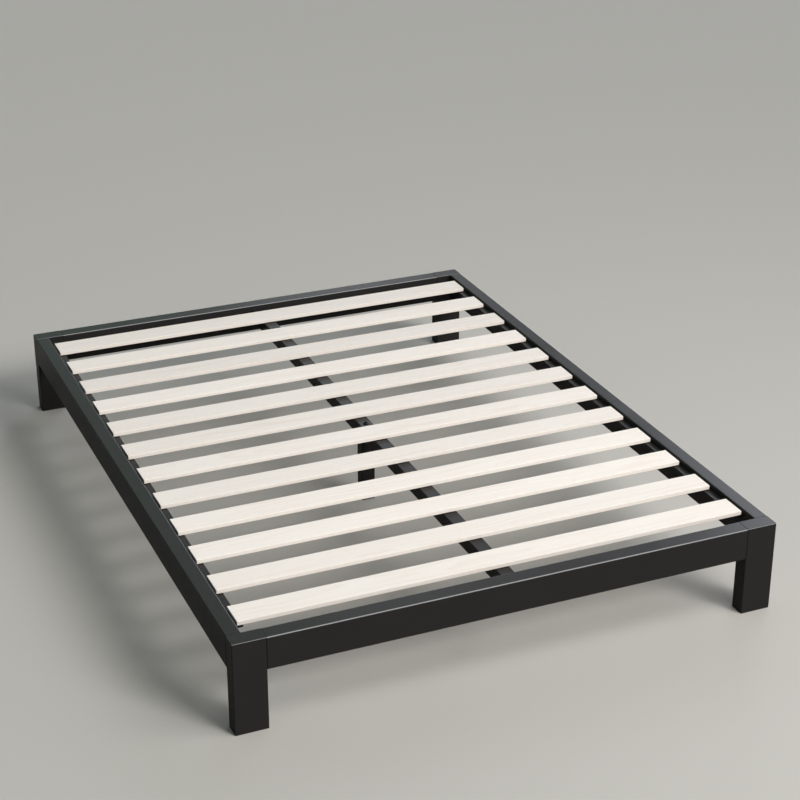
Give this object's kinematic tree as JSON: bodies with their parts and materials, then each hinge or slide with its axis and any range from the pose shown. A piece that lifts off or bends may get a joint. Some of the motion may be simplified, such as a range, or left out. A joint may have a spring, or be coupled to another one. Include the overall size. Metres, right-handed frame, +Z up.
{
  "type": "platform bed frame",
  "caption": "Low platform bed frame of rectangular steel tube on corner posts, with a centre rail and leg under a deck of spaced wooden slats.",
  "frame": {"origin": "on the floor, at the middle of the footprint", "axes": "+X to the right seen from the foot end, +Y from the foot end to the head end, +Z up"},
  "size_m": [1.511, 2.032, 0.257],
  "materials": {
    "powder_coated_steel": "satin black powder coat on steel tube",
    "inner_steel": "thin black powder coat on steel stubs inside the rails",
    "pine": "planed pale softwood, unfinished",
    "black_plastic": "moulded black polyethylene",
    "black_hardware": "black oxide button-head bolts and washers",
    "zinc_hardware": "zinc-plated weld nuts",
    "hook_and_loop": "black hook-and-loop tape"
  },
  "bodies": {
    "root": {"foot_left_post": "powder_coated_steel", "foot_left_post_cap": "powder_coated_steel", "foot_left_glide": "black_plastic", "foot_left_end_stub": "inner_steel", "foot_left_side_stub": "inner_steel", "foot_right_post": "powder_coated_steel", "foot_right_post_cap": "powder_coated_steel", "foot_right_glide": "black_plastic", "foot_right_end_stub": "inner_steel", "foot_right_side_stub": "inner_steel", "head_left_post": "powder_coated_steel", "head_left_post_cap": "powder_coated_steel", "head_left_glide": "black_plastic", "head_left_end_stub": "inner_steel", "head_left_side_stub": "inner_steel", "head_right_post": "powder_coated_steel", "head_right_post_cap": "powder_coated_steel", "head_right_glide": "black_plastic", "head_right_end_stub": "inner_steel", "head_right_side_stub": "inner_steel", "foot_rail": "powder_coated_steel", "head_rail": "powder_coated_steel", "left_side_rail": "powder_coated_steel", "right_side_rail": "powder_coated_steel", "left_slat_ledge": "powder_coated_steel", "right_slat_ledge": "powder_coated_steel", "centre_rail": "powder_coated_steel", "centre_leg": "powder_coated_steel", "centre_leg_plate": "powder_coated_steel", "foot_centre_stub": "inner_steel", "head_centre_stub": "inner_steel", "centre_leg_glide": "black_plastic", "ledge_plugs": "black_plastic", "slat_01": "pine", "slat_02": "pine", "slat_03": "pine", "slat_04": "pine", "slat_05": "pine", "slat_06": "pine", "slat_07": "pine", "slat_08": "pine", "slat_09": "pine", "slat_10": "pine", "slat_11": "pine", "slat_12": "pine", "left_slat_pads": "hook_and_loop", "centre_slat_pads": "hook_and_loop", "right_slat_pads": "hook_and_loop", "joint_bolts": "black_hardware", "joint_washers": "black_hardware", "centre_leg_bolt": "black_hardware", "centre_leg_washer": "black_hardware", "joint_nuts": "zinc_hardware", "centre_leg_nut": "zinc_hardware"}
  },
  "joints": []
}
